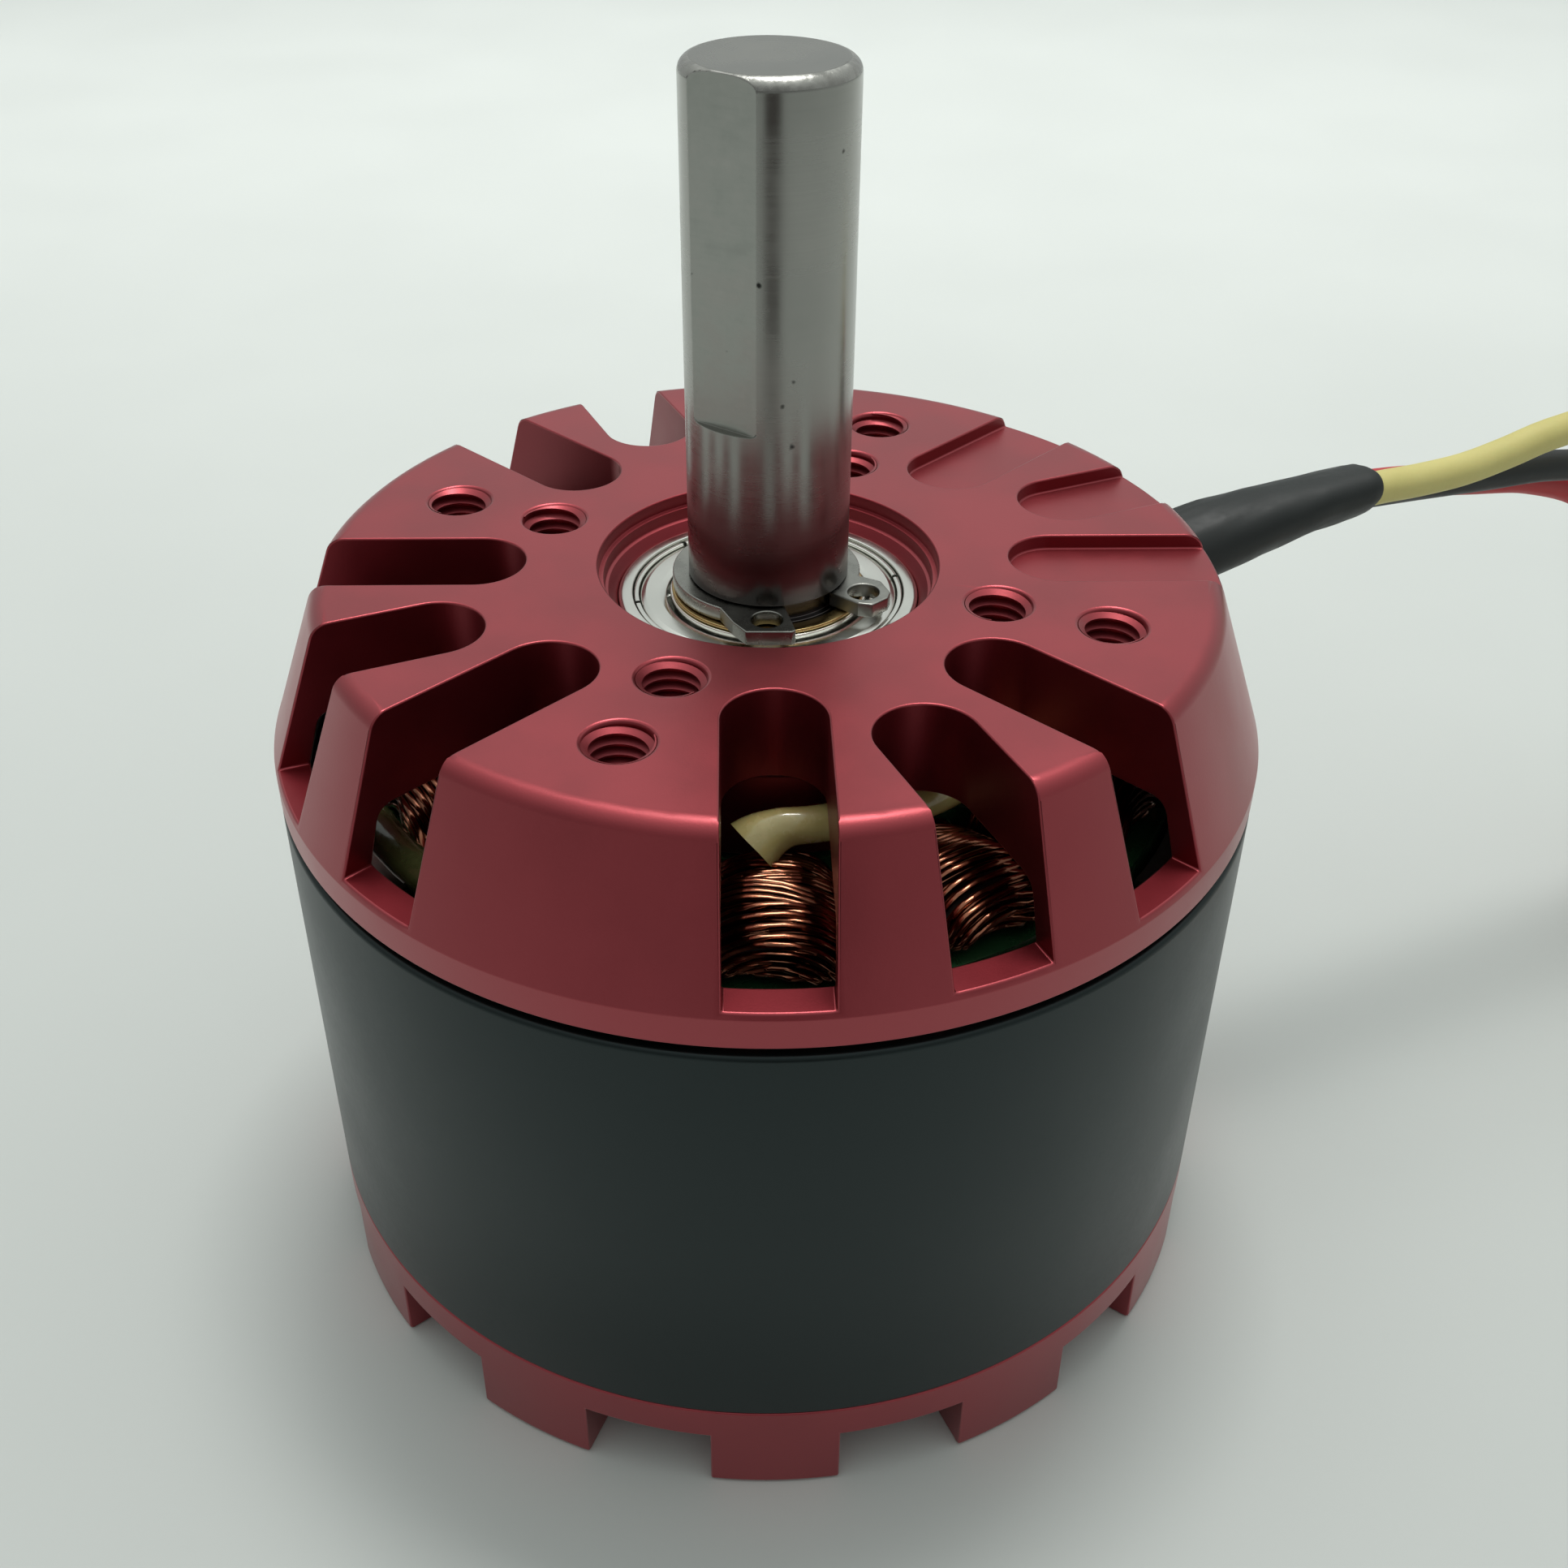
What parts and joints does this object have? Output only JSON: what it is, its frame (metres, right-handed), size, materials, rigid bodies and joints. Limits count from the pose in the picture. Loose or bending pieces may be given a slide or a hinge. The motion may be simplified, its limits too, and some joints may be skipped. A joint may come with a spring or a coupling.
{
  "type": "brushless outrunner motor",
  "caption": "Brushless outrunner electric motor with a slotted mount cap, a turning can and end bell, a long flatted shaft and three phase leads with bullet connectors.",
  "frame": {"origin": "on the shaft's axis, in the plane of the end bell's feet", "axes": "+Z along the shaft, from the end bell towards the shaft's free end; the cable leaves 22.5 degrees from +X towards +Y"},
  "size_m": [0.1375, 0.0792, 0.0804],
  "materials": {
    "red_anodised": "bead-blasted and red anodised, satin",
    "black_can": "satin black",
    "ground_steel": "ground, with fine turning marks",
    "bearing_steel": "bright, fine ground",
    "brass": "thin bright washer",
    "copper_enamel": "enamelled copper wire, glossy",
    "green_lacquer": "green lacquer on electrical steel",
    "magnet_nickel": "nickel plated",
    "cream_sleeving": "varnished sleeving, glossy",
    "black_shrink": "heat-shrink, matt",
    "yellow_silicone": "silicone rubber, soft sheen",
    "black_silicone": "silicone rubber, soft sheen",
    "red_silicone": "silicone rubber, soft sheen",
    "gold_plate": "gold plated"
  },
  "bodies": {
    "stator": {"mount_cap": "red_anodised", "stator_core": "green_lacquer", "coil_01": "copper_enamel", "coil_02": "copper_enamel", "coil_03": "copper_enamel", "coil_04": "copper_enamel", "coil_05": "copper_enamel", "coil_06": "copper_enamel", "coil_07": "copper_enamel", "coil_08": "copper_enamel", "coil_09": "copper_enamel", "coil_10": "copper_enamel", "coil_11": "copper_enamel", "coil_12": "copper_enamel", "phase_sleeve_1": "cream_sleeving", "phase_sleeve_2": "cream_sleeving", "phase_sleeve_3": "cream_sleeving", "star_point_sleeve": "cream_sleeving", "front_bearing_outer_ring": "bearing_steel", "front_bearing_upper_shield": "bearing_steel", "front_bearing_lower_shield": "bearing_steel", "rear_bearing_outer_ring": "bearing_steel", "rear_bearing_upper_shield": "bearing_steel", "rear_bearing_lower_shield": "bearing_steel", "lead_sleeve": "black_shrink", "phase_lead_yellow": "yellow_silicone", "phase_lead_black": "black_silicone", "phase_lead_red": "red_silicone", "connector_boot_yellow": "black_shrink", "connector_boot_black": "black_shrink", "connector_boot_red": "black_shrink", "bullet_connector_yellow": "gold_plate", "bullet_connector_black": "gold_plate", "bullet_connector_red": "gold_plate"},
    "rotor": {"shaft": "ground_steel", "retaining_ring": "bearing_steel", "shim_washer": "brass", "rotor_can": "black_can", "end_bell": "red_anodised", "shaft_spacer": "brass", "front_bearing_inner_ring": "bearing_steel", "rear_bearing_inner_ring": "bearing_steel", "magnet_01": "magnet_nickel", "magnet_02": "magnet_nickel", "magnet_03": "magnet_nickel", "magnet_04": "magnet_nickel", "magnet_05": "magnet_nickel", "magnet_06": "magnet_nickel", "magnet_07": "magnet_nickel", "magnet_08": "magnet_nickel", "magnet_09": "magnet_nickel", "magnet_10": "magnet_nickel", "magnet_11": "magnet_nickel", "magnet_12": "magnet_nickel", "magnet_13": "magnet_nickel", "magnet_14": "magnet_nickel", "set_screw_1": "bearing_steel", "set_screw_2": "bearing_steel"},
    "front_cage": {"front_bearing_ball_cage": "bearing_steel"},
    "rear_cage": {"rear_bearing_ball_cage": "bearing_steel"}
  },
  "joints": [
    {"name": "rotor_spin", "type": "hinge", "parent": "stator", "child": "rotor", "pos_m": [0, 0, 0.03], "axis": [0, 0, 1], "continuous": true},
    {"name": "front_cage_spin", "type": "hinge", "parent": "stator", "child": "front_cage", "pos_m": [0, 0, 0.0457], "axis": [0, 0, 1], "continuous": true},
    {"name": "rear_cage_spin", "type": "hinge", "parent": "stator", "child": "rear_cage", "pos_m": [0, 0, 0.0171], "axis": [0, 0, 1], "continuous": true}
  ],
  "couplings": [
    {"joint": "front_cage_spin", "follows": "rotor_spin", "ratio": 0.435},
    {"joint": "rear_cage_spin", "follows": "rotor_spin", "ratio": 0.435}
  ]
}
